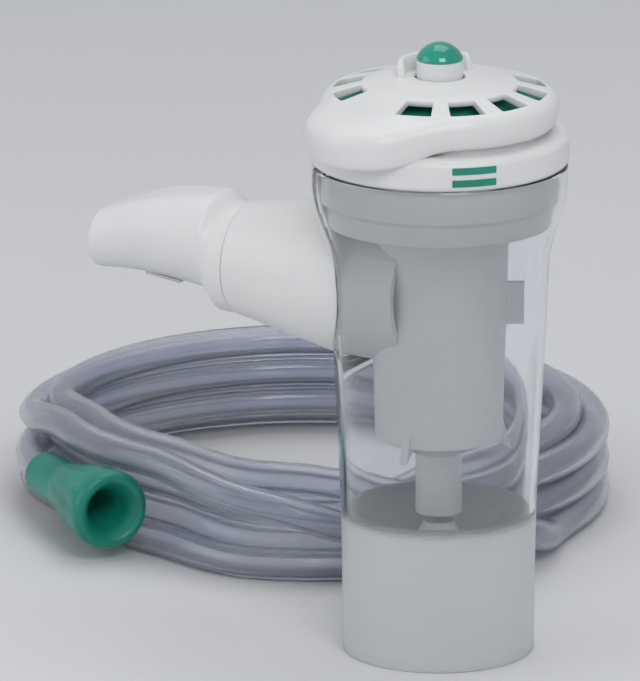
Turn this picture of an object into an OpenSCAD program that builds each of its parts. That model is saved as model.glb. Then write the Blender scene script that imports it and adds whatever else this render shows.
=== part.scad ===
// Breath-actuated small-volume nebulizer with its mouthpiece and a coil of gas tubing.
// Millimetres. The origin is the centre of the cup's foot on the table, +Z is up, and the
// mouthpiece points along -X.

/* [Cup] */
// Height of the clear cup from the table to its rim
cup_h = 106; // [105:0.5:106.5]
// Outer radius of the skirt that the cup stands on
skirt_r = 20.2; // [20:0.1:20.4]
// Outer radius of the cup where its flare begins
shoulder_r = 23.1; // [22.9:0.1:23.3]
// Outer radius of the cup's widest part, just under the rim
cup_top_r = 27; // [26.9:0.1:27.2]
// Wall thickness of the clear cup
cup_wall = 1.3; // [1.2:0.1:1.4]

/* [Reservoir and jet] */
// Height of the rim where the reservoir cone meets the cup
reservoir_top = 31; // [30:0.5:32]
// Outer radius of the gas inlet spigot under the cone
spigot_r = 3.1; // [3:0.05:3.2]
// Height of the jet's tip
jet_top = 26; // [25.5:0.5:26.5]

/* [Air chimney] */
// Outer radius of the chimney at its top
chimney_top_r = 14.7; // [14.3:0.1:14.9]
// Outer radius of the chimney just above its closing cone
chimney_foot_r = 13.4; // [13:0.1:13.8]
// Outer radius of the narrow stem under the chimney
stem_r = 4.9; // [4.6:0.1:5.2]

/* [Outlet arm] */
// Height of the arm's axis above the table
arm_z = 78.8; // [78:0.2:79.4]
// Outer radius of the arm where it leaves the cup
arm_root_r = 17; // [16.4:0.2:17.2]
// Outer radius of the arm at its open end
arm_end_r = 12.2; // [12.1:0.05:12.5]
// Distance from the cup's axis to the arm's open end
arm_len = 46; // [45:0.5:47]

/* [Mouthpiece] */
// Bore radius of the arm's 22 mm socket, which takes the mouthpiece's spigot
socket_r = 11; // [10.9:0.05:11.1]
// Distance from the cup's axis to the lip end
mouth_len = 78.6; // [78.4:0.2:79.4]
// Greatest width of the blade that goes between the lips
blade_w = 26.4; // [26:0.2:27]

/* [Dial] */
// Radius of the mode dial's round rim
dial_r = 25; // [24.8:0.1:25.2]
// Distance of the thumb lobe's centre from the axis
lobe_out = 14.5; // [14:0.1:15]
// Direction of the thumb lobe at rest, in degrees from +X
lobe_dir = -105; // [-115:5:-95]
// How far the dial turns between its two modes, in degrees
dial_turn = 60; // [50:5:70]

/* [Button] */
// Radius of the green button at its foot
button_r = 4.9; // [4.7:0.1:5]
// Travel of the button, piston and baffle
button_travel = 3.5; // [3:0.1:3.5]

/* [Tubing] */
// Outer diameter of the clear tubing
tube_d = 7; // [6.6:0.1:7]
// Radius of the coil at the middle of its outer turns
coil_r = 62; // [61.8:0.1:62.2]
// Length of each green end connector
connector_len = 34; // [32:0.5:35]

/* [Hidden] */
$fn = 96;

far = 60;
slip = 0.05;

clear_plastic = [0.82, 0.87, 0.92, 0.4];
frosted_plastic = [0.88, 0.9, 0.92, 0.7];
white_plastic = [0.93, 0.93, 0.93];
green_rubber = [0.06, 0.55, 0.45];
tube_vinyl = [0.7, 0.74, 0.82, 0.6];

slot_r = arm_root_r + 0.5;
web_half = arm_root_r - 0.2;
collar_r = cup_top_r + 0.2;
collar_z = cup_h + 0.2;
skirt_in_r = 22;
skirt_foot = 93.5;
flange_top = 95.2;
flange_foot = 93.6;
neck_r = 22.4;
neck_in_r = 19.8;
neck_top = 117.6;
rod_r = 1.8;
piston_head_r = 4.85;
rod_foot = jet_top + button_travel + 3.5;
head_foot = 121.85;
head_top = 127.9;
membrane_top = 121.8;
socket_floor = 31.4;
lumen_r = 9.55;
coil_centre = [-78.5, 82.5, 0];
supply_mouth = [-91.3, 18.4, 11.5];
supply_dir = -33;
bell_r = 8.8;
bell_bore_r = 3.2;
tail_mouth = [-20.2, 22, 9];
tail_dir = -104;

// Route of the tubing between the coil and the connector beside the cup, by its centre line
tail_route = [
    [-16.4, 83, 3.5], [-15.4, 77.5, 3.5], [-13.4, 71.5, 4.2], [-11.5, 65.5, 5.9],
    [-10.9, 60, 7.9], [-12, 55, 9]
];

function mirrored_wall(outer, wall) = concat(
    outer,
    [for (i = [len(outer) - 1:-1:0]) [outer[i][0] - wall, outer[i][1]]]
);

function cup_outline() = [
    [skirt_r - 0.3, 0], [skirt_r, 0.6], [skirt_r + 0.2, 22], [shoulder_r - 0.4, 71],
    [shoulder_r, 84.3], [shoulder_r + 0.6, 87.6], [cup_top_r - 1.3, 94],
    [cup_top_r - 0.7, 96], [cup_top_r, 101], [cup_top_r, cup_h - 1],
    [cup_top_r - 0.3, cup_h]
];

function chimney_outline() = [
    [stem_r, 30], [stem_r, 43], [chimney_foot_r, 46.8], [chimney_top_r, flange_foot]
];

function unit(v) = v / norm(v);

// Direction of travel along a route at one of its points
function heading(route, i) = unit(
    route[min(i + 1, len(route) - 1)] - route[max(i - 1, 0)]
);

// One ring of points round a route's centre line
function ring(centre, along, r, sides) =
    let (side = unit(cross(along, [0, 0, 1])), up = cross(side, along))
    [for (k = [0:sides - 1])
        centre + r * (cos(360 * k / sides) * side + sin(360 * k / sides) * up)];

module swept_tube(route, r, sides) {
    rings = len(route);
    points = [for (i = [0:rings - 1]) each ring(route[i], heading(route, i), r, sides)];
    walls = [for (i = [0:rings - 2], k = [0:sides - 1]) [
        i * sides + k, i * sides + (k + 1) % sides,
        (i + 1) * sides + (k + 1) % sides, (i + 1) * sides + k
    ]];
    first_cap = [for (k = [sides - 1:-1:0]) k];
    last_cap = [for (k = [0:sides - 1]) (rings - 1) * sides + k];
    polyhedron(points, concat([first_cap, last_cap], walls));
}

// Puts a child made along +Z onto the arm, which points along -X
module along_arm() {
    translate([0, 0, arm_z]) rotate([0, -90, 0]) children();
}

module cup_wall_solid() {
    rotate_extrude() polygon(mirrored_wall(cup_outline(), cup_wall));
}

// Clear cup with a U-shaped slot, open at the rim, where the outlet arm drops in
module cup() {
    color(clear_plastic) difference() {
        cup_wall_solid();
        along_arm() cylinder(r = slot_r, h = far);
        translate([-far, -slot_r, arm_z]) cube([far, 2 * slot_r, far]);
    }
}

// Cone that holds the medicine, with the gas jet above it and the gas inlet spigot below
module reservoir() {
    rim_r = 19.4;
    cone_r = 18;
    bore_r = 1.2;
    orifice_r = 0.35;
    color(frosted_plastic) rotate_extrude() polygon([
        [bore_r, 2], [spigot_r - 0.3, 2], [spigot_r, 3], [spigot_r, 14], [4.4, 15],
        [5.2, 16], [cone_r, 27.6], [rim_r, 27.6], [rim_r, reservoir_top],
        [cone_r + 0.3, reservoir_top], [cone_r, reservoir_top - 0.8], [4.6, 18.2],
        [3.6, 19.5], [1.7, jet_top], [orifice_r, jet_top], [orifice_r, jet_top - 1.8],
        [bore_r, jet_top - 2.8]
    ]);
}

// Cap over the jet that draws the liquid up, held off it by three small feet
module jet_cover() {
    color(white_plastic) {
        rotate_extrude() polygon([
            [5.4, 20.6], [6.4, 20.6], [3.2, jet_top + 2], [0.6, jet_top + 2],
            [0.6, jet_top + 0.6], [2.1, jet_top + 0.6]
        ]);
        for (a = [0:120:240])
            rotate([0, 0, a + 30]) translate([5.2, -0.6, 18.6]) cube([1, 1.2, 2.4]);
    }
}

module arm_outer() {
    along_arm() rotate_extrude() polygon([
        [0, 2], [arm_root_r, 2], [arm_root_r, 21], [arm_end_r, arm_len], [0, arm_len]
    ]);
}

// White collar that closes the cup, with the neck that the dial turns on
module housing() {
    color(white_plastic) difference() {
        rotate_extrude() polygon([
            [skirt_in_r, skirt_foot], [23.6, skirt_foot], [23.9, 98], [25, 98.6],
            [25, 105.6], [25.4, collar_z], [collar_r - 0.4, collar_z], [collar_r, 107],
            [collar_r, 111.6], [collar_r - 1, 112.7], [25, 113], [neck_r, 113],
            [neck_r, neck_top], [neck_in_r, neck_top], [neck_in_r, 111.5],
            [skirt_in_r, 109]
        ]);
        arm_outer();
        bars(collar_r - 0.6);
    }
}

// Two arcs one above the other, from an inner radius out to just proud of the collar
module bars(inner_r) {
    bar_h = 1.5;
    bar_deg = 20;
    rotate([0, 0, lobe_dir + dial_turn - bar_deg / 2]) for (z = [107.3, 109.9])
        translate([0, 0, z]) rotate_extrude(angle = bar_deg)
            translate([inner_r, 0]) square([collar_r + 0.15 - inner_r, bar_h]);
}

// Green marks that show which mode the thumb lobe is set to
module index_bars() {
    color(green_rubber) bars(collar_r - 0.6);
}

// Side port: a cone through the cup's slot that ends in a socket for the mouthpiece
module outlet_arm() {
    wall = 1.4;
    shelf = socket_floor - wall;
    color(white_plastic) difference() {
        union() {
            arm_outer();
            intersection() {
                cup_wall_solid();
                translate([-far, -web_half, arm_z])
                    cube([far, 2 * web_half, cup_h - 0.1 - arm_z]);
            }
        }
        along_arm() rotate_extrude() polygon([
            [0, -1], [arm_root_r - wall, -1], [arm_root_r - wall, 21],
            [arm_root_r - 2.2 * wall, shelf], [lumen_r, shelf], [lumen_r, socket_floor],
            [socket_r, socket_floor], [socket_r, arm_len + 1], [0, arm_len + 1]
        ]);
        rotate_extrude() polygon(concat(chimney_outline(), [[0, flange_foot], [0, 30]]));
        translate([0, 0, flange_foot]) cylinder(r = skirt_in_r, h = 10);
        translate([-21, -6, arm_z - arm_root_r - 1]) cube([8, 12, 8]);
    }
}

// Inner tube that leads the breath down to the jet
module air_chimney() {
    wall = 1.3;
    color(white_plastic) {
        rotate_extrude() polygon([
            [stem_r, 30], [stem_r, 43], [chimney_foot_r, 46.8], [chimney_top_r, flange_foot],
            [skirt_in_r, flange_foot], [skirt_in_r, flange_top],
            [chimney_top_r - wall, flange_top], [chimney_foot_r - wall, 48],
            [stem_r - wall, 44.2], [stem_r - wall, 30]
        ]);
        rotate([0, 0, 30]) translate([chimney_foot_r + 0.2, -1, 71]) cube([4.2, 2, 9]);
        for (a = [30:120:270])
            rotate([0, 0, a]) rotate([90, 0, 0])
                translate([0, 0, -0.8]) linear_extrude(1.6)
                    polygon([[12.6, 45.6], [15.3, 43.6], [13.2, 51]]);
    }
}

// Spoked bush in the collar that keeps the piston on the axis
module piston_guide() {
    color(white_plastic) difference() {
        union() {
            translate([0, 0, 105.5]) difference() {
                cylinder(r = skirt_in_r, h = 2.5);
                translate([0, 0, -1]) cylinder(r = skirt_in_r - 1.8, h = 5);
            }
            for (a = [0:120:240])
                rotate([0, 0, a]) translate([3, -1, 105.5]) cube([18, 2, 2]);
            translate([0, 0, 100]) cylinder(r = 4, h = 9);
        }
        translate([0, 0, 99]) cylinder(r = rod_r + slip, h = 11);
    }
}

// Soft green membrane under the dial's windows, gripped by the neck and by the piston
module diaphragm() {
    skin = 0.8;
    color(green_rubber) rotate_extrude() polygon([
        [2.6, membrane_top - skin], [7, membrane_top - skin], [19.4, 118],
        [20.1, neck_top], [22.1, neck_top], [22.1, 118.4], [19.8, 118.8],
        [7.2, membrane_top], [2.6, membrane_top]
    ]);
}

// Mode dial: a shallow cone with air windows, a thumb lobe and a guard behind the button
module dial() {
    roof_bend_r = 14.8;
    color(white_plastic) difference() {
        union() {
            rotate_extrude() polygon([
                [0, 114.2], [dial_r - 1.1, 114.2], [dial_r, 118.3], [dial_r - 0.5, 120],
                [dial_r - 1.5, 121.2], [roof_bend_r, 123.4], [9, 124.3], [0, 124.5]
            ]);
            thumb_lobe();
            button_guard();
        }
        rotate_extrude() polygon([
            [0, 100], [collar_r + 0.5, 100], [collar_r + 0.5, 113.3],
            [neck_r + 0.3, 113.3], [neck_r + 0.3, 119.4], [roof_bend_r, 121.9],
            [9, 122.8], [piston_head_r + 0.3, 122.8], [piston_head_r + 0.3, 140], [0, 140]
        ]);
        for (k = [1:11])
            if (k != 6)
                rotate([0, 0, lobe_dir + 30 * k]) air_window();
    }
}

// Cutter for one air window: a sector of a ring through the dial's sloping roof
module air_window() {
    near = 16.6;
    out = 22.4;
    width_deg = 19;
    rotate([0, 0, -width_deg / 2]) translate([0, 0, 118]) rotate_extrude(angle = width_deg)
        translate([near, 0]) square([out - near, 8]);
}

// Round tongue that hangs over the collar on one side and turns the dial
module thumb_lobe() {
    lobe_r = 19.1;
    lobe_foot = 110.5;
    lobe_top = 118.7;
    rotate([0, 0, lobe_dir]) translate([0, 0, lobe_foot])
        linear_extrude(lobe_top - lobe_foot) polygon(concat(
            [[0, -lobe_r]],
            [for (a = [-90:5:90]) [lobe_out + lobe_r * cos(a), lobe_r * sin(a)]],
            [[0, lobe_r]]
        ));
}

// C-shaped wall, open at the front, that stands behind the button
module button_guard() {
    guard_r = 8.9;
    guard_wall = 1.5;
    guard_top = 127.8;
    rotate([0, 0, 66]) rotate_extrude(angle = 154)
        translate([guard_r - guard_wall, 123.5]) square([guard_wall, guard_top - 123.5]);
}

// Rod with a round head that carries the button above and the baffle below
module piston() {
    color(white_plastic) rotate_extrude() polygon([
        [0, rod_foot], [rod_r, rod_foot], [rod_r, 120.95], [2.5, 120.95], [2.5, head_foot],
        [piston_head_r, head_foot], [piston_head_r, head_top], [0, head_top]
    ]);
}

// Small disc that breaks the jet into mist when the piston is down
module baffle() {
    thickness = 1.1;
    color(white_plastic) translate([0, 0, rod_foot - thickness]) cylinder(r = 2.6, h = thickness);
}

// Washer that clamps the membrane's centre against the piston's head
module piston_washer() {
    color(white_plastic) translate([0, 0, 119.6]) difference() {
        cylinder(r = 4.5, h = 1.35);
        translate([0, 0, -1]) cylinder(r = rod_r, h = 4);
    }
}

// Glossy green dome that shows each breath and can be pressed by hand
module button_cap() {
    dome_h = 3.3;
    lip_h = 0.4;
    ball_r = (button_r * button_r + dome_h * dome_h) / (2 * dome_h);
    color(green_rubber) translate([0, 0, head_top]) {
        cylinder(r = button_r, h = lip_h);
        intersection() {
            translate([0, 0, lip_h + dome_h - ball_r]) sphere(r = ball_r);
            translate([0, 0, lip_h]) cylinder(r = button_r, h = dome_h + 1);
        }
    }
}

// Blade stations: distance from the cup's axis, width, height, height of the centre, wall
function blade_stations() = [
    [53, 24.2, 20.8, 82, 1.6], [59, 24.8, 18.9, 82.6, 1.4], [66, 25.3, 16.9, 82.6, 1.4],
    [73, blade_w - 0.6, 14.7, 82, 1.4], [mouth_len - 1.3, blade_w, 12.4, 81.2, 1.4],
    [mouth_len, blade_w - 2.2, 10.8, 81, 1.4]
];

// One ring of points round a slot shape with rounded ends, shrunk all round by the inset
function slot_ring(s, inset, sides) =
    let (w = s[1] - 2 * inset, h = s[2] - 2 * inset)
    [for (k = [0:sides - 1])
        let (a = 360 * (k + 0.5) / sides)
        [-s[0], sign(cos(a)) * (w - h) / 2 + h / 2 * cos(a), s[3] + h / 2 * sin(a)]];

// Solid whose skin runs out along one list of rings and back, closed on itself
module looped_skin(rings, sides) {
    count = len(rings);
    points = [for (r = rings) each r];
    sides_of = [for (i = [0:count - 1], k = [0:sides - 1])
        let (j = (i + 1) % count, n = (k + 1) % sides)
        each [
            [i * sides + k, j * sides + k, j * sides + n],
            [i * sides + k, j * sides + n, i * sides + n]
        ]];
    polyhedron(points, sides_of);
}

// Spigot, flange and flattened lip end, with the exhalation port in its underside
module mouthpiece() {
    sides = 48;
    spigot_d = 2 * (socket_r - slip);
    spigot_wall = spigot_d / 2 - lumen_r;
    flange_d = 23.8;
    flange_in = arm_len + 0.3;
    flange_wall = flange_d / 2 - lumen_r;
    spigot_start = [socket_floor + 0.6, spigot_d, spigot_d, arm_z, spigot_wall];
    flange_end = [50.2, flange_d, flange_d, arm_z, flange_wall];
    outside = concat([
        spigot_start, [flange_in, spigot_d, spigot_d, arm_z],
        [flange_in, flange_d, flange_d, arm_z], flange_end
    ], blade_stations());
    inside = concat([spigot_start, flange_end], blade_stations());
    color(white_plastic) difference() {
        looped_skin(concat(
            [for (s = outside) slot_ring(s, 0, sides)],
            [for (i = [len(inside) - 1:-1:0]) slot_ring(inside[i], inside[i][4], sides)]
        ), sides);
        flap_frame() translate([-7.1, -3.5, -1]) cube([5, 7, 5]);
    }
}

// Frame that lies on the sloping underside of the blade, its origin at the flap's hinge
module flap_frame() {
    translate([-60.3, 0, 73.4]) rotate([0, 6.9, 0]) children();
}

// Thin silicone flap under the blade that lets the breath out
module exhale_flap() {
    color(frosted_plastic) flap_frame()
        translate([-8.5, -5, -1]) cube([8.5, 10, 0.7]);
}

// Outer shape of the six wound turns, with a pocket where the supply connector lies
module tubing_coil() {
    column = tube_d * 0.87;
    inner = coil_r - column - tube_d / 2;
    outer = coil_r + tube_d / 2;
    pocket_r = bell_r + 0.7;
    color(tube_vinyl) difference() {
        translate(coil_centre) rotate_extrude($fn = 128) polygon([
            [inner, tube_d], [inner, 3 * tube_d], [inner + 1.8, 3.4 * tube_d],
            [inner + 5, 3.5 * tube_d], [outer - 2, 3 * tube_d], [outer, 2.5 * tube_d],
            [outer, 0.5 * tube_d], [outer - 3.5, 0], [outer - 7, 0], [inner + 1.8, 4]
        ]);
        on_connector_axis(supply_mouth, supply_dir)
            cylinder(r = pocket_r, h = connector_len + 12);
    }
}

// Puts a child made along +Z onto a connector's axis, from its narrow end to its mouth
module on_connector_axis(mouth, direction) {
    translate(mouth) rotate([0, 0, direction]) rotate([0, 90, 0])
        translate([0, 0, -connector_len]) children();
}

// Green funnel connector: a socket for the tubing at one end and a flared bell at the other
module connector_solid() {
    sleeve_r = 4.9;
    rotate_extrude() polygon([
        [tube_d / 2, 0], [sleeve_r, 0], [sleeve_r + 0.2, 12], [6, 16],
        [bell_r - 0.8, connector_len - 10], [bell_r, connector_len - 3],
        [bell_r, connector_len - 0.8], [bell_r - 0.8, connector_len],
        [bell_bore_r, connector_len], [bell_bore_r, connector_len - 14],
        [2.3, connector_len - 15], [2.3, 9], [tube_d / 2, 9]
    ]);
}

module supply_connector() {
    color(green_rubber) on_connector_axis(supply_mouth, supply_dir) connector_solid();
}

module cup_connector() {
    color(green_rubber) on_connector_axis(tail_mouth, tail_dir) connector_solid();
}

// Short loose end of the tubing from the coil to the connector beside the cup
module tubing_tail() {
    color(tube_vinyl) swept_tube(tail_route, tube_d / 2, 12);
}

cup();
reservoir();
jet_cover();
housing();
outlet_arm();
air_chimney();
piston_guide();
index_bars();
diaphragm();
dial();
piston();
baffle();
piston_washer();
button_cap();
mouthpiece();
exhale_flap();
tubing_coil();
tubing_tail();
supply_connector();
cup_connector();
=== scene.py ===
import math

import bmesh
import bpy
from mathutils import Matrix, Vector


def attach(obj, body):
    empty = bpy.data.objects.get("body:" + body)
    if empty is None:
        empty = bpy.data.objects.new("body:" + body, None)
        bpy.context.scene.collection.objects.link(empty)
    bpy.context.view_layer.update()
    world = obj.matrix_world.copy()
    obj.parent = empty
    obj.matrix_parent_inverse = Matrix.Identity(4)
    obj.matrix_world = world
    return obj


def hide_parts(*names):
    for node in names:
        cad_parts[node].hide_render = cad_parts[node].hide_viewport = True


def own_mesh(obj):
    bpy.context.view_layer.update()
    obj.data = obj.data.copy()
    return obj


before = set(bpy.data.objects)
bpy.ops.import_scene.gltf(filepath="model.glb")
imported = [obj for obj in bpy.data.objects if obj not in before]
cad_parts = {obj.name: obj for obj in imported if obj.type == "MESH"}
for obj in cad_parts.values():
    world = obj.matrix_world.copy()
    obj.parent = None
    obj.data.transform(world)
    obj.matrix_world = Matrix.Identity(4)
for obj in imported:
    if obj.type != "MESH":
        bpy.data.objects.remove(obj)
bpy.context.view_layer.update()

# Lengths below are in millimetres, and MM turns them into metres.
MM = 0.001
AXIS_Z = Vector((0, 0, 1))

# The same sizes as the CAD model has.
CUP_H = 106
CUP_WALL = 1.3
COLLAR_R = 27.2
ARM_Z = 78.8
SLOT_R = 17.5
SOCKET_FLOOR = 31.4
SPIGOT_R = 10.95
LUMEN_R = 9.55
MOUTH_LEN = 78.6
BLADE_W = 26.4
DIAL_R = 25
LOBE_OUT = 14.5
LOBE_R = 19.1
LOBE_DEG = -105
BUTTON_R = 4.9
HEAD_TOP = 127.9
MEMBRANE_TOP = 121.8
TUBE_R = 3.5
TUBE_BORE_R = 2.3
COIL_CENTRE = (-78.5, 82.5)
CONNECTOR_LEN = 34
SUPPLY_MOUTH = (-91.3, 18.4, 11.5)
SUPPLY_DEG = -33
TAIL_MOUTH = (-20.2, 22, 9)
TAIL_DEG = -104


# ---------------------------------------------------------------- small tools

def smooth_step(t):
    """0 below 0, 1 above 1, and an even curve between them."""
    t = min(max(t, 0), 1)
    return t * t * (3 - 2 * t)


def mix(a, b, t):
    """Point or number between a and b."""
    if isinstance(a, (int, float)):
        return a + (b - a) * t
    return tuple(x + (y - x) * t for x, y in zip(a, b))


def eased_rows(rows, steps):
    """Rows of numbers with smooth rows added between them (Catmull-Rom)."""
    made = []
    for i in range(len(rows) - 1):
        before = rows[max(i - 1, 0)]
        after = rows[min(i + 2, len(rows) - 1)]
        for k in range(steps):
            t = k / steps
            made.append(tuple(
                0.5 * (2 * b + (c - a) * t + (2 * a - 5 * b + 4 * c - d) * t * t
                       + (3 * b - a - 3 * c + d) * t * t * t)
                for a, b, c, d in zip(before, rows[i], rows[i + 1], after)
            ))
    made.append(tuple(rows[-1]))
    return made


def rounded(outline, reach, steps=4):
    """Closed outline with each corner turned into a curve that starts reach away from it."""
    made = []
    count = len(outline)
    for i, corner in enumerate(outline):
        here = Vector(corner)
        back = Vector(outline[i - 1]) - here
        ahead = Vector(outline[(i + 1) % count]) - here
        start = here + back.normalized() * min(reach, 0.45 * back.length)
        end = here + ahead.normalized() * min(reach, 0.45 * ahead.length)
        for k in range(steps + 1):
            t = k / steps
            made.append(tuple((1 - t) ** 2 * start + 2 * t * (1 - t) * here + t * t * end))
    return made


def new_piece(name, points, faces, sharp_deg=40):
    """Object from points in millimetres, smooth apart from edges sharper than sharp_deg."""
    mesh = bpy.data.meshes.new(name)
    mesh.from_pydata([[c * MM for c in p] for p in points], [], faces)
    return tidy_piece(name, mesh, sharp_deg)


def tidy_piece(name, mesh, sharp_deg):
    """Object from a mesh, with double points merged and its faces turned outwards."""
    merge_distance = 0.004 * MM
    shape = bmesh.new()
    shape.from_mesh(mesh)
    bmesh.ops.remove_doubles(shape, verts=shape.verts, dist=merge_distance)
    bmesh.ops.recalc_face_normals(shape, faces=shape.faces)
    shape.to_mesh(mesh)
    shape.free()
    mesh.shade_smooth()
    mesh.set_sharp_from_angle(angle=math.radians(sharp_deg))
    piece = bpy.data.objects.new(name, mesh)
    bpy.context.scene.collection.objects.link(piece)
    return piece


def ring_faces(rings, size, closed):
    """Four-sided faces between rings of points that follow each other."""
    last = rings if closed else rings - 1
    return [
        (i * size + k, i * size + (k + 1) % size,
         (i + 1) % rings * size + (k + 1) % size, (i + 1) % rings * size + k)
        for i in range(last) for k in range(size)
    ]


def lathe(name, outline, steps=128, sharp_deg=40):
    """Solid of revolution about +Z from a closed outline of (radius, height)."""
    points = []
    for i in range(steps):
        a = 2 * math.pi * i / steps
        points += [(r * math.cos(a), r * math.sin(a), z) for r, z in outline]
    return new_piece(name, points, ring_faces(steps, len(outline), True), sharp_deg)


def add_bevel(piece, width, angle_deg=45):
    edge = piece.modifiers.new("soft_edges", "BEVEL")
    edge.width = width * MM
    edge.segments = 3
    edge.limit_method = "ANGLE"
    edge.angle_limit = math.radians(angle_deg)


def add_subdivision(piece, levels):
    finer = piece.modifiers.new("finer", "SUBSURF")
    finer.levels = levels
    finer.render_levels = levels


def apply_modifiers(piece):
    depsgraph = bpy.context.evaluated_depsgraph_get()
    mesh = bpy.data.meshes.new_from_object(piece.evaluated_get(depsgraph))
    piece.modifiers.clear()
    piece.data = mesh


def cut_away(piece, tool):
    """Takes the tool's volume out of the piece and deletes the tool."""
    cut = piece.modifiers.new("cut", "BOOLEAN")
    cut.operation = "DIFFERENCE"
    cut.solver = "EXACT"
    cut.object = tool
    apply_modifiers(piece)
    bpy.data.objects.remove(tool)


def place(piece, body, material, slot, *nodes):
    """Gives the piece its material and body, and lets it stand for CAD nodes."""
    piece.data.materials.clear()
    piece.data.materials.append(material)
    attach(piece, body)
    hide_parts(*nodes)
    return piece


# ---------------------------------------------------------------- materials

class Finish:
    """A Principled material with colour, roughness and relief that vary over the surface."""

    def __init__(self, name):
        self.material = bpy.data.materials.new(name)
        self.material.use_nodes = True
        self.tree = self.material.node_tree
        self.shader = self.tree.nodes["Principled BSDF"]
        self.place = self.tree.nodes.new("ShaderNodeTexCoord").outputs["Object"]

    def set(self, **values):
        for name, value in values.items():
            self.shader.inputs[name.replace("_", " ")].default_value = value

    def noise(self, per_metre, detail=3):
        node = self.tree.nodes.new("ShaderNodeTexNoise")
        node.inputs["Scale"].default_value = per_metre
        node.inputs["Detail"].default_value = detail
        self.tree.links.new(self.place, node.inputs["Vector"])
        return node.outputs["Fac"]

    def height(self, low, high):
        """0 below the height low and 1 above high, in metres."""
        split = self.tree.nodes.new("ShaderNodeSeparateXYZ")
        self.tree.links.new(self.place, split.inputs["Vector"])
        span = self.tree.nodes.new("ShaderNodeMapRange")
        span.interpolation_type = "SMOOTHSTEP"
        span.inputs["From Min"].default_value = low
        span.inputs["From Max"].default_value = high
        self.tree.links.new(split.outputs["Z"], span.inputs["Value"])
        return span.outputs["Result"]

    def ramp(self, source, stops, socket):
        """Feeds a socket from a colour ramp: stops are (position, red, green, blue)."""
        node = self.tree.nodes.new("ShaderNodeValToRGB")
        bands = node.color_ramp.elements
        while len(bands) < len(stops):
            bands.new(0.5)
        for band, (position, *colour) in zip(bands, stops):
            band.position = position
            band.color = (*colour, 1)
        self.tree.links.new(source, node.inputs["Fac"])
        self.tree.links.new(node.outputs["Color"], self.shader.inputs[socket])

    def level(self, source, low, high, socket):
        node = self.tree.nodes.new("ShaderNodeMapRange")
        node.inputs["To Min"].default_value = low
        node.inputs["To Max"].default_value = high
        self.tree.links.new(source, node.inputs["Value"])
        self.tree.links.new(node.outputs["Result"], self.shader.inputs[socket])

    def relief(self, source, strength, depth):
        node = self.tree.nodes.new("ShaderNodeBump")
        node.inputs["Strength"].default_value = strength
        node.inputs["Distance"].default_value = depth
        self.tree.links.new(source, node.inputs["Height"])
        self.tree.links.new(node.outputs["Normal"], self.shader.inputs["Normal"])


MOTTLE = (0.3, 0.7)


def opaque_plastic(name, dark, light, roughness, sheen_scale, grain_depth):
    """Moulded plastic or rubber: two close colours, uneven gloss and a fine grain."""
    finish = Finish(name)
    mottle = finish.noise(sheen_scale)
    finish.ramp(mottle, [(MOTTLE[0], *dark), (MOTTLE[1], *light)], "Base Color")
    finish.level(finish.noise(3 * sheen_scale), *roughness, "Roughness")
    finish.relief(finish.noise(2600, detail=5), 0.5, grain_depth)
    return finish


def white_plastic():
    finish = opaque_plastic(
        "white_plastic", (0.76, 0.765, 0.77), (0.82, 0.82, 0.815), (0.3, 0.46), 45, 0.00002
    )
    finish.set(Subsurface_Weight=0.12, Subsurface_Radius=(0.002, 0.002, 0.0018),
               Specular_IOR_Level=0.45)
    return finish.material


def green_rubber():
    finish = opaque_plastic(
        "green_rubber", (0.008, 0.22, 0.155), (0.016, 0.30, 0.21), (0.4, 0.6), 110, 0.00004
    )
    return finish.material


def green_vinyl():
    finish = opaque_plastic(
        "green_vinyl", (0.003, 0.20, 0.145), (0.012, 0.30, 0.22), (0.26, 0.42), 90, 0.00003
    )
    finish.set(Subsurface_Weight=0.25, Subsurface_Radius=(0.001, 0.003, 0.0025))
    return finish.material


def green_gloss():
    finish = opaque_plastic(
        "green_gloss", (0.005, 0.27, 0.18), (0.012, 0.35, 0.24), (0.08, 0.2), 120, 0.00001
    )
    finish.set(Coat_Weight=0.6, Coat_Roughness=0.06)
    return finish.material


def silicone():
    finish = opaque_plastic(
        "silicone", (0.6, 0.61, 0.61), (0.72, 0.72, 0.72), (0.4, 0.6), 130, 0.00003
    )
    return finish.material


def clear_plastic():
    """Clear moulded cup, ground to a frost over the skirt below the medicine."""
    finish = Finish("clear_plastic")
    up = finish.height(0.0285, 0.0315)
    finish.ramp(up, [(0, 0.93, 0.945, 0.96), (1, 0.965, 0.98, 1)], "Base Color")
    finish.level(up, 0.34, 0.04, "Roughness")
    finish.level(up, 0.5, 1, "Transmission Weight")
    finish.set(IOR=1.42)
    finish.relief(finish.noise(70, detail=2), 0.25, 0.0003)
    return finish.material


def frosted_plastic():
    finish = Finish("frosted_plastic")
    finish.ramp(finish.noise(80), [(MOTTLE[0], 0.78, 0.8, 0.83), (MOTTLE[1], 0.9, 0.91, 0.92)],
                "Base Color")
    finish.level(finish.noise(200), 0.4, 0.55, "Roughness")
    finish.set(Transmission_Weight=0.6, IOR=1.46)
    finish.relief(finish.noise(1500), 0.4, 0.00003)
    return finish.material


def clear_vinyl():
    finish = Finish("clear_vinyl")
    finish.ramp(finish.noise(35), [(MOTTLE[0], 0.80, 0.83, 0.92), (MOTTLE[1], 0.9, 0.92, 0.97)],
                "Base Color")
    finish.level(finish.noise(60), 0.08, 0.2, "Roughness")
    finish.set(Transmission_Weight=0.9, IOR=1.4)
    finish.relief(finish.noise(70, detail=1), 0.2, 0.0003)
    return finish.material


WHITE = white_plastic()
CLEAR = clear_plastic()
FROSTED = frosted_plastic()
RUBBER = green_rubber()
GLOSS = green_gloss()
GREEN_VINYL = green_vinyl()
VINYL = clear_vinyl()
SILICONE = silicone()


# ---------------------------------------------------------------- camera

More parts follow.
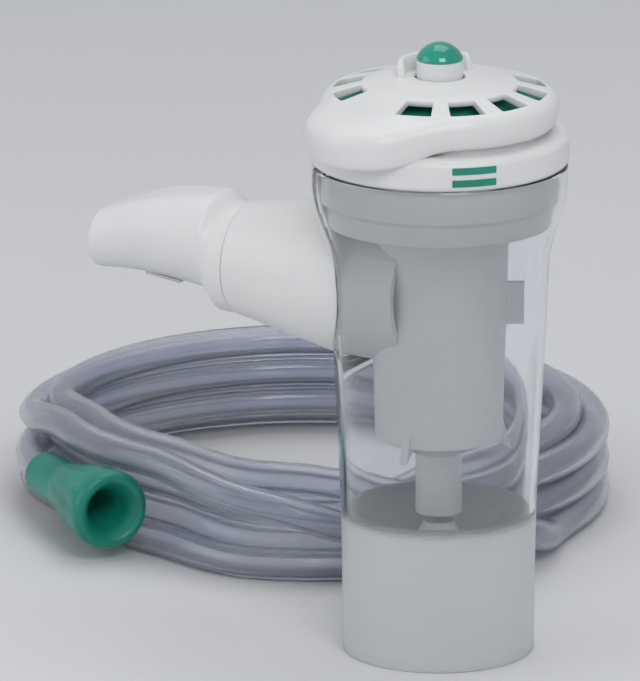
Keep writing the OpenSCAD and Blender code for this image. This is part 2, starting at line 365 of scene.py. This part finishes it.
def add_camera():
    """Camera at the photograph's angle: 30 degrees round and 15.5 degrees above."""
    azimuth = math.radians(30)
    elevation = math.radians(15.5)
    distance = 2.5
    frame_height = 0.143
    sensor = 36
    aim_left = 0.025
    aim_height = 0.067
    back = Vector((
        math.sin(azimuth) * math.cos(elevation),
        -math.cos(azimuth) * math.cos(elevation),
        math.sin(elevation),
    ))
    target = Vector((
        -aim_left * math.cos(azimuth), -aim_left * math.sin(azimuth), aim_height
    ))
    data = bpy.data.cameras.new("camera")
    data.sensor_width = sensor
    data.lens = sensor * distance / frame_height
    data.clip_start = 0.05
    data.clip_end = 20
    camera = bpy.data.objects.new("camera", data)
    bpy.context.scene.collection.objects.link(camera)
    camera.location = target + back * distance
    camera.rotation_mode = "QUATERNION"
    camera.rotation_quaternion = (-back).to_track_quat("-Z", "Y")
    bpy.context.scene.camera = camera


# ---------------------------------------------------------------- tubing

# Radii of the two columns of turns. The inner one sits half a tube higher.
OUTER_R = 62
INNER_R = 55.9
# Places of the wound turns in the coil's cross-section, as (radius, height), in the
# order in which the tubing passes through them.
TURNS = [(OUTER_R, 10.5), (OUTER_R, 17.5), (INNER_R, 21), (INNER_R, 14), (INNER_R, 7),
         (OUTER_R, 3.5)]
# The same places beside the supply connector, which pushes the turns inwards.
TURNS_ASIDE = [(62, 10.5), (56.2, 21.6), (49.2, 22), (49.2, 15), (48.4, 8), (54, 3.5)]
COIL_START_DEG = 227
COIL_END_DEG = -1800
TAIL_ROUTE = [(-15.4, 77.5, 3.5), (-13.4, 71.5, 4.2), (-11.5, 65.5, 5.9), (-10.9, 60, 7.9),
              (-12, 55, 8.9), (-13, 51.1, 9), (-13.8, 47.8, 9)]
# Where each turn starts to climb over to the next place, behind the cup, and how far it takes.
CLIMB_START_DEG = (-42, -36, -16, -10, -2)
CLIMB_DEG = 40
# Halfway over, a turn bows this far out from the middle of the stack, to pass its neighbours.
CLIMB_BOW = 1.4
STACK_MIDDLE = (59, 12.2)
# Where the supply connector lies beside the turns, how far either side of it the turns give
# way, and over what part of that they move.
CONNECTOR_BESIDE_DEG = 244
ASIDE_REACH_DEG = 46
ASIDE_FADE_DEG = 30
# How far inside its place the tubing leaves the supply connector.
START_INSET = 0.6


def coil_place(deg):
    """Radius and height of the tubing after it has turned to this angle, which only falls."""
    at = TURNS[0]
    aside = TURNS_ASIDE[0]
    bow = 0
    for k, start in enumerate(CLIMB_START_DEG):
        t = smooth_step((start - 360 * k - deg) / CLIMB_DEG)
        at = mix(at, TURNS[k + 1], t)
        aside = mix(aside, TURNS_ASIDE[k + 1], t)
        bow += CLIMB_BOW * 4 * t * (1 - t)
    beside_deg = abs((deg - CONNECTOR_BESIDE_DEG + 180) % 360 - 180)
    giving_way = smooth_step((ASIDE_REACH_DEG - beside_deg) / ASIDE_FADE_DEG)
    radius, height = mix(at, aside, giving_way)
    out, up = radius - STACK_MIDDLE[0], height - STACK_MIDDLE[1]
    reach = math.hypot(out, up)
    return radius + bow * out / reach, height + bow * up / reach


def tubing_route():
    """Centre line from inside the supply connector, round the coil, to the cup's connector."""
    step_deg = 6
    supply = math.radians(SUPPLY_DEG)
    along = (math.cos(supply), math.sin(supply))
    mouth = SUPPLY_MOUTH
    route = [
        (mouth[0] - d * along[0], mouth[1] - d * along[1], mouth[2])
        for d in (CONNECTOR_LEN - 8, CONNECTOR_LEN - 4)
    ]
    settle_deg = 30
    for i in range(int((COIL_START_DEG - COIL_END_DEG) / step_deg) + 1):
        deg = COIL_START_DEG - step_deg * i
        radius, height = coil_place(deg)
        start = 1 - smooth_step((COIL_START_DEG - deg) / settle_deg)
        radius -= START_INSET * start
        height += (mouth[2] - TURNS[0][1]) * start
        a = math.radians(deg)
        route.append((
            COIL_CENTRE[0] + radius * math.cos(a),
            COIL_CENTRE[1] + radius * math.sin(a),
            height,
        ))
    return route + TAIL_ROUTE


def route_length(route):
    return sum((Vector(b) - Vector(a)).length for a, b in zip(route, route[1:]))


def make_tubing():
    """One hollow tube that follows the route, with its outer and inner walls."""
    sides = 20
    route = [Vector(p) for p in tubing_route()]
    rings = []
    for radius, order in ((TUBE_R, route), (TUBE_BORE_R, route[::-1])):
        for i, centre in enumerate(order):
            along = (order[min(i + 1, len(order) - 1)] - order[max(i - 1, 0)]).normalized()
            if order is not route:
                along = -along
            side = along.cross(AXIS_Z).normalized()
            up = side.cross(along)
            rings += [
                centre + radius * (math.cos(a) * side + math.sin(a) * up)
                for a in (2 * math.pi * k / sides for k in range(sides))
            ]
    count = len(rings) // sides
    tubing = new_piece("tubing", rings, ring_faces(count, sides, True))
    place(tubing, "base", VINYL, "clear_vinyl", "tubing_coil", "tubing_tail")
    return tubing, [[c * MM for c in p] for p in route]


def connector_point(mouth, deg, back):
    """Point on a connector's axis, back from its mouth, in metres."""
    a = math.radians(deg)
    return ((mouth[0] - back * math.cos(a)) * MM, (mouth[1] - back * math.sin(a)) * MM,
            mouth[2] * MM)


def make_connector(name, node, mouth, deg):
    """Green funnel connector with grip ribs round its bell."""
    outline = rounded([
        (3.5, 0), (4.9, 0), (5.1, 12), (6, 16), (7.7, 24), (8.6, 30), (8.8, 32.6),
        (8, CONNECTOR_LEN), (6.6, CONNECTOR_LEN), (4.9, 31.8), (3.6, 27), (3.2, 20),
        (2.3, 19), (2.3, 9), (3.5, 9)
    ], 0.8)
    piece = lathe(name, outline, steps=96)
    ribs = 12
    rib_swell = 0.035
    skin_from_r = 5.3
    ribs_from = 15
    ribs_to = 30.5
    for vertex in piece.data.vertices:
        x, y, z = (c / MM for c in vertex.co)
        radius = math.hypot(x, y)
        on_skin = smooth_step((radius - skin_from_r) / 0.6)
        on_bell = smooth_step((z - ribs_from) / 5) * smooth_step((ribs_to - z) / 3)
        swell = 1 + rib_swell * on_skin * on_bell * math.cos(ribs * math.atan2(y, x))
        vertex.co.x *= swell
        vertex.co.y *= swell
    direction = Vector((math.cos(math.radians(deg)), math.sin(math.radians(deg)), 0))
    start = Vector(connector_point(mouth, deg, CONNECTOR_LEN))
    piece.data.transform(direction.to_track_quat("Z", "Y").to_matrix().to_4x4())
    piece.data.transform(Matrix.Translation(start))
    place(piece, "base", GREEN_VINYL, "green_vinyl", node)
    return piece


# ---------------------------------------------------------------- cup and reservoir

def make_cup():
    """Clear cup: a flared shell with a U-shaped slot that the arm drops into."""
    outside = eased_rows([
        (20.2, 0.6), (20.3, 12), (20.6, 30), (21.5, 50), (22.5, 70), (23.05, 82), (23.3, 86),
        (24.1, 90), (25.5, 94.5), (26.5, 98), (26.95, 101.5), (27, 104), (26.9, 105.5)
    ], 3)
    inside = [(r - CUP_WALL, z) for r, z in reversed(outside)]
    outline = [(20, 0.1)] + outside + [(26.6, CUP_H), (26, CUP_H)] + inside + [(19.2, 0.1)]
    cup = lathe("cup_shell", outline, steps=160, sharp_deg=50)
    cut_away(cup, slot_tool())
    return place(cup, "base", CLEAR, "clear_plastic", "cup")


def slot_tool():
    """Round-bottomed bar along -X, as wide as the arm's slot and open at the top."""
    half_steps = 24
    reach = 40
    tall = 60
    arc = [
        (SLOT_R * math.cos(a), ARM_Z + SLOT_R * math.sin(a))
        for a in (math.pi + math.pi * k / half_steps for k in range(half_steps + 1))
    ]
    section = [(-SLOT_R, ARM_Z + tall)] + arc + [(SLOT_R, ARM_Z + tall)]
    points = [(x, y, z) for x in (-reach, 0) for y, z in section]
    size = len(section)
    ends = [tuple(range(size)), tuple(range(2 * size - 1, size - 1, -1))]
    return new_piece("slot_tool", points, ring_faces(2, size, False) + ends)


# ---------------------------------------------------------------- refined CAD pieces

def refine(node, body, material, slot, bevel):
    """A cleaned copy of a CAD node with soft edges, which stands for that node."""
    flat_angle = math.radians(0.5)
    merge_distance = 0.004 * MM
    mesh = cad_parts[node].data.copy()
    shape = bmesh.new()
    shape.from_mesh(mesh)
    bmesh.ops.remove_doubles(shape, verts=shape.verts, dist=merge_distance)
    bmesh.ops.dissolve_limit(
        shape, angle_limit=flat_angle, verts=shape.verts, edges=shape.edges
    )
    shape.to_mesh(mesh)
    shape.free()
    piece = tidy_piece(node + "_finished", mesh, 35)
    if bevel:
        add_bevel(piece, bevel)
    return place(piece, body, material, slot, node)


# ---------------------------------------------------------------- collar and button

def make_housing():
    """Collar over the cup's rim, with stepped skirt inside the cup and the dial's neck."""
    outline = rounded([
        (22, 93.5), (23.6, 93.5), (23.9, 98), (25, 98.6), (25, 105.6), (25.4, 106.2),
        (COLLAR_R - 0.5, 106.2), (COLLAR_R, 107), (COLLAR_R, 111.6), (COLLAR_R - 1, 112.7),
        (25, 113), (22.4, 113), (22.4, 117.6), (19.8, 117.6), (19.8, 111.5), (22, 109)
    ], 0.5)
    housing = lathe("collar", outline, steps=160)
    return place(housing, "top", WHITE, "white_plastic", "housing")


def make_diaphragm():
    """Soft membrane with two shallow folds, gripped at its rim and at its centre."""
    upper = [
        (2.6, MEMBRANE_TOP), (7, MEMBRANE_TOP), (9.5, 121.2), (11, 120.5), (12.5, 120.55),
        (14, 120), (16, 119.1), (17.5, 119.1), (19.4, 118.7), (22, 118.4)
    ]
    lower = [(r, z - 0.8) for r, z in reversed(upper)]
    piece = lathe("membrane", rounded(eased_rows(upper, 3) + eased_rows(lower, 3), 0.2, 2))
    place(piece, "top", RUBBER, "green_rubber", "diaphragm")
    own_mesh(piece)
    return piece


def make_button():
    """Glossy dome on the piston's head."""
    dome_h = 3.3
    lip_h = 0.4
    steps = 18
    ball_r = (BUTTON_R ** 2 + dome_h ** 2) / (2 * dome_h)
    centre_z = HEAD_TOP + lip_h + dome_h - ball_r
    half = math.asin(BUTTON_R / ball_r)
    dome = [
        (ball_r * math.sin(a), centre_z + ball_r * math.cos(a))
        for a in (half * (1 - k / steps) for k in range(steps + 1))
    ]
    outline = [(0, HEAD_TOP), (BUTTON_R - 0.2, HEAD_TOP), (BUTTON_R, HEAD_TOP + 0.15)] + dome
    button = lathe("button_dome", outline, steps=96, sharp_deg=60)
    return place(button, "actuator", GLOSS, "green_gloss", "button_cap")


# ---------------------------------------------------------------- dial

# Angles of the wall sections round one window, which is open between the second and the eighth.
WINDOW_DEGS = (-10.6, -9.5, -8.4, -4.5, 0, 4.5, 8.4, 9.5, 10.6, 15)
WINDOW_NEAR = 16.6
WINDOW_FAR = 22.4


def dial_radius(deg):
    """Outer radius of the dial: a circle drawn out into the thumb lobe at 0 degrees."""
    deg = abs((deg + 180) % 360 - 180)
    a = math.radians(deg)
    touch = math.acos((DIAL_R - LOBE_R) / LOBE_OUT)
    meet = math.atan2(LOBE_R * math.sin(touch), LOBE_OUT + LOBE_R * math.cos(touch))
    if a > touch:
        return DIAL_R
    if a > meet:
        return DIAL_R / math.cos(touch - a)
    return LOBE_OUT * math.cos(a) + math.sqrt(LOBE_R ** 2 - (LOBE_OUT * math.sin(a)) ** 2)


def dial_section(deg):
    """Closed outline of the dial's wall at this angle, as (radius, height)."""
    reach = dial_radius(deg)
    lobe = smooth_step((reach - DIAL_R) / (LOBE_OUT + LOBE_R - DIAL_R))

    def skin(plain, drawn_out):
        return mix(plain, drawn_out, lobe)

    return [
        (5.2, 123), (5.2, 124.25), (5.5, 124.5), (9, 124.3), (12, 123.9), (14.8, 123.4),
        (16, 123.1), (WINDOW_NEAR, 122.94), (17.3, 122.76), (19.5, 122.2), (21.7, 121.65),
        (WINDOW_FAR, 121.48), (22.9, 121.35),
        skin((23.6, 121), (reach - 6, 120.1)), skin((24.5, 120.2), (reach - 2.4, 118.9)),
        skin((24.95, 119), (reach - 0.7, 117.8)), skin((25, 118), (reach, 116)),
        skin((24.8, 116.4), (reach, 113.5)), skin((24.3, 115), (reach - 0.3, 111.4)),
        skin((23.9, 114.3), (reach - 0.9, 110.6)), skin((23.3, 114.2), (reach - 2.4, 110.5)),
        skin((22.85, 114.3), (28.1, 110.6)), skin((22.75, 114.7), (27.8, 111.2)),
        skin((22.7, 115.1), (27.7, 113.3)), skin((22.7, 115.5), (22.9, 113.4)),
        (22.7, 116), (22.7, 119.1), (WINDOW_FAR, 119.45), (21.7, 119.7), (19.5, 120.4),
        (17.3, 121.1), (WINDOW_NEAR, 121.3), (14.8, 121.85), (9, 122.75)
    ]


# Which points of the dial's section bound a window, above and below the roof.
TOP_NEAR = 7
TOP_FAR = 11
UNDER_FAR = 27
UNDER_NEAR = 31


def make_dial():
    """Dial shell with ten windows through its roof, made as one grid of wall sections."""
    degs = [30 * k + d for k in range(12) for d in WINDOW_DEGS]
    sections = [dial_section(deg) for deg in degs]
    size = len(sections[0])
    points = []
    for deg, section in zip(degs, sections):
        a = math.radians(deg + LOBE_DEG)
        points += [(r * math.cos(a), r * math.sin(a), z) for r, z in section]
    per_window = len(WINDOW_DEGS)

    def in_window(step):
        window, part = divmod(step, per_window)
        return window % 6 != 0 and 1 <= part <= 6

    faces = []
    steps = len(degs)
    for i in range(steps):
        j = (i + 1) % steps
        for k in range(size):
            roof = TOP_NEAR <= k < TOP_FAR or UNDER_FAR <= k < UNDER_NEAR
            if roof and in_window(i):
                continue
            n = (k + 1) % size
            faces.append((i * size + k, j * size + k, j * size + n, i * size + n))
        if in_window(i):
            for top, under in ((TOP_NEAR, UNDER_NEAR), (TOP_FAR, UNDER_FAR)):
                faces.append((i * size + top, j * size + top, j * size + under, i * size + under))
        if in_window(i) != in_window(j):
            edge = j * size
            for k in range(TOP_FAR - TOP_NEAR):
                faces.append((edge + TOP_NEAR + k, edge + TOP_NEAR + k + 1,
                              edge + UNDER_NEAR - k - 1, edge + UNDER_NEAR - k))
    dial = new_piece("dial_shell", points, faces, sharp_deg=80)
    add_subdivision(dial, 2)
    return place(dial, "dial", WHITE, "white_plastic", "dial")


def make_guard():
    """C-shaped wall behind the button, lower and rounded at its two ends."""
    start_deg = 66
    sweep_deg = 154
    steps = 44
    foot = 123.6
    top = 127.8
    points = []
    for i in range(steps + 1):
        deg = sweep_deg * i / steps
        rise = smooth_step(0.25 + min(deg, sweep_deg - deg) / 12)
        crest = foot + (top - foot) * rise
        a = math.radians(start_deg + deg)
        for r, z in ((7.4, foot), (7.4, crest - 0.5), (7.8, crest), (8.5, crest),
                     (8.9, crest - 0.5), (8.9, foot)):
            points.append((r * math.cos(a), r * math.sin(a), z))
    size = 6
    ends = [tuple(range(size)), tuple(range(steps * size, (steps + 1) * size))]
    guard = new_piece("button_guard", points, ring_faces(steps + 1, size, False) + ends, 60)
    add_bevel(guard, 0.25, 50)
    place(guard, "dial", WHITE, "white_plastic")
    return guard


# ---------------------------------------------------------------- mouthpiece

def slot_ring(row, inset, sides):
    """Ring of points round a slot shape: row is distance, width, height, centre height."""
    out, w, h, z = row[:4]
    w -= 2 * inset
    h -= 2 * inset
    ring = []
    for k in range(sides):
        a = 2 * math.pi * (k + 0.5) / sides
        side = 1 if math.cos(a) > 0 else -1
        ring.append((-out, side * (w - h) / 2 + h / 2 * math.cos(a), z + h / 2 * math.sin(a)))
    return ring


# The blade: where it starts, its size there and at the lip, and how far its middle arches up.
BLADE_ROOT = 53
BLADE_ROOT_W = 24.2
BLADE_ROOT_H = 20.8
BLADE_ROOT_Z = 82
BLADE_ARCH = 1
BLADE_WALL = 1.4
LIP_LEN = 1.3
LIP_H = 12.8
LIP_Z = 81
LIP_ROUND = 2


def blade_row(along):
    """Distance, width, height, centre height and wall of the blade this far out."""
    t = (along - BLADE_ROOT) / (MOUTH_LEN - LIP_LEN - BLADE_ROOT)
    return (
        along,
        mix(BLADE_ROOT_W, BLADE_W, t),
        mix(BLADE_ROOT_H, LIP_H, t),
        mix(BLADE_ROOT_Z, LIP_Z, t) + BLADE_ARCH * 4 * t * (1 - t),
        BLADE_WALL,
    )


def make_mouthpiece():
    """Spigot, flange and flattened blade as one skin that runs out and back inside."""
    sides = 72
    blade_steps = 4
    spigot_wall = SPIGOT_R - LUMEN_R
    flange_r = 11.9
    flange_wall = flange_r - LUMEN_R
    flange_start = 46.3
    flange_end = 50.2
    neck = (51.3, 23.9, 22.8, 80.1, 1.9)
    flange = [(flange_start, 2 * SPIGOT_R), (flange_start, 2 * flange_r - 0.8),
              (flange_start + 0.3, 2 * flange_r - 0.1), (flange_start + 0.7, 2 * flange_r),
              (flange_end - 0.6, 2 * flange_r), (flange_end, 2 * flange_r - 0.1)]
    rows = [(SOCKET_FLOOR + 0.6, 2 * SPIGOT_R - 0.6), (SOCKET_FLOOR + 1, 2 * SPIGOT_R)] + flange
    outside = [(out, d, d, ARM_Z) for out, d in rows]
    lip = blade_row(MOUTH_LEN - LIP_LEN)
    blade = eased_rows(
        [neck]
        + [blade_row(mix(BLADE_ROOT, MOUTH_LEN - LIP_LEN, k / blade_steps)) for k in range(blade_steps + 1)]
        + [(MOUTH_LEN - 0.3, lip[1] - 0.8, lip[2] - 1, lip[3], 1.1),
           (MOUTH_LEN, lip[1] - LIP_ROUND, lip[2] - LIP_ROUND, lip[3], 0.6)],
        4)
    rings = [slot_ring(row, 0, sides) for row in outside + [b[:4] for b in blade]]
    rings += [slot_ring(b, b[4], sides) for b in reversed(blade)]
    rings += [
        slot_ring((flange_end, 2 * flange_r, 2 * flange_r, ARM_Z), flange_wall, sides),
        slot_ring((SOCKET_FLOOR + 0.6, 2 * SPIGOT_R, 2 * SPIGOT_R, ARM_Z), spigot_wall, sides),
    ]
    points = [p for ring in rings for p in ring]
    piece = new_piece("mouthpiece_shell", points, ring_faces(len(rings), sides, True), 38)
    cut_away(piece, port_tool())
    return place(piece, "mouthpiece", WHITE, "white_plastic", "mouthpiece")


def port_tool():
    """Small block where the exhalation port opens under the flap."""
    centre = Vector((-64.9, 0, 74.6))
    half = Vector((2.3, 3.3, 1.8))
    corners = [(x, y, z) for x in (-1, 1) for y in (-1, 1) for z in (-1, 1)]
    points = [[c + h * s for c, h, s in zip(centre, half, corner)] for corner in corners]
    faces = [(0, 1, 3, 2), (4, 6, 7, 5), (0, 4, 5, 1), (2, 3, 7, 6), (0, 2, 6, 4), (1, 5, 7, 3)]
    return new_piece("port_tool", points, faces)


# ---------------------------------------------------------------- room

def add_area_light(name, place_at, size, watts, aim=(-0.02, 0, 0.06)):
    data = bpy.data.lights.new(name, "AREA")
    data.size = size
    data.energy = watts
    light = bpy.data.objects.new(name, data)
    bpy.context.scene.collection.objects.link(light)
    light.location = place_at
    light.rotation_mode = "QUATERNION"
    light.rotation_quaternion = (Vector(aim) - Vector(place_at)).to_track_quat("-Z", "Y")


def add_room():
    """Plain pale floor and background with soft studio light."""
    half = 6
    mesh = bpy.data.meshes.new("floor")
    mesh.from_pydata([(-half, -half, 0), (half, -half, 0), (half, half, 0), (-half, half, 0)],
                     [], [(0, 1, 2, 3)])
    floor = bpy.data.objects.new("floor", mesh)
    bpy.context.scene.collection.objects.link(floor)
    paper = Finish("pale_paper")
    paper.ramp(paper.noise(8), [(0, 0.74, 0.74, 0.75), (1, 0.78, 0.78, 0.785)], "Base Color")
    paper.set(Roughness=0.8)
    mesh.materials.append(paper.material)
    world = bpy.data.worlds.new("studio")
    world.use_nodes = True
    sky = world.node_tree.nodes["Background"]
    sky.inputs["Color"].default_value = (0.86, 0.88, 0.92, 1)
    sky.inputs["Strength"].default_value = 0.5
    bpy.context.scene.world = world
    add_area_light("key", (0.55, -0.55, 0.75), 0.45, 3.2)
    add_area_light("fill", (-0.7, -0.6, 0.4), 0.7, 1.6)
    add_area_light("top", (-0.1, 0.25, 0.9), 0.6, 1.6)
    bpy.context.scene.view_settings.view_transform = "Standard"


# ---------------------------------------------------------------- the object

add_camera()
tubing, tubing_path = make_tubing()
supply_connector = make_connector("supply_funnel", "supply_connector", SUPPLY_MOUTH, SUPPLY_DEG)
cup_connector = make_connector("cup_funnel", "cup_connector", TAIL_MOUTH, TAIL_DEG)
route_length(tubing_route()) * MM
make_cup()
make_housing()
make_diaphragm()
make_button()
make_dial()
make_guard()
make_mouthpiece()
for node, body, material, slot, bevel in (
    ("reservoir", "base", FROSTED, "frosted_plastic", 0.15),
    ("jet_cover", "base", WHITE, "white_plastic", 0.1),
    ("outlet_arm", "top", WHITE, "white_plastic", 0.25),
    ("air_chimney", "top", WHITE, "white_plastic", 0.2),
    ("piston_guide", "top", WHITE, "white_plastic", 0.15),
    ("index_bars", "top", RUBBER, "green_rubber", 0.1),
    ("piston", "actuator", WHITE, "white_plastic", 0.2),
    ("baffle", "actuator", WHITE, "white_plastic", 0.1),
    ("piston_washer", "actuator", WHITE, "white_plastic", 0.1),
    ("exhale_flap", "flap", SILICONE, "silicone", 0.15),
):
    refine(node, body, material, slot, bevel)
add_room()
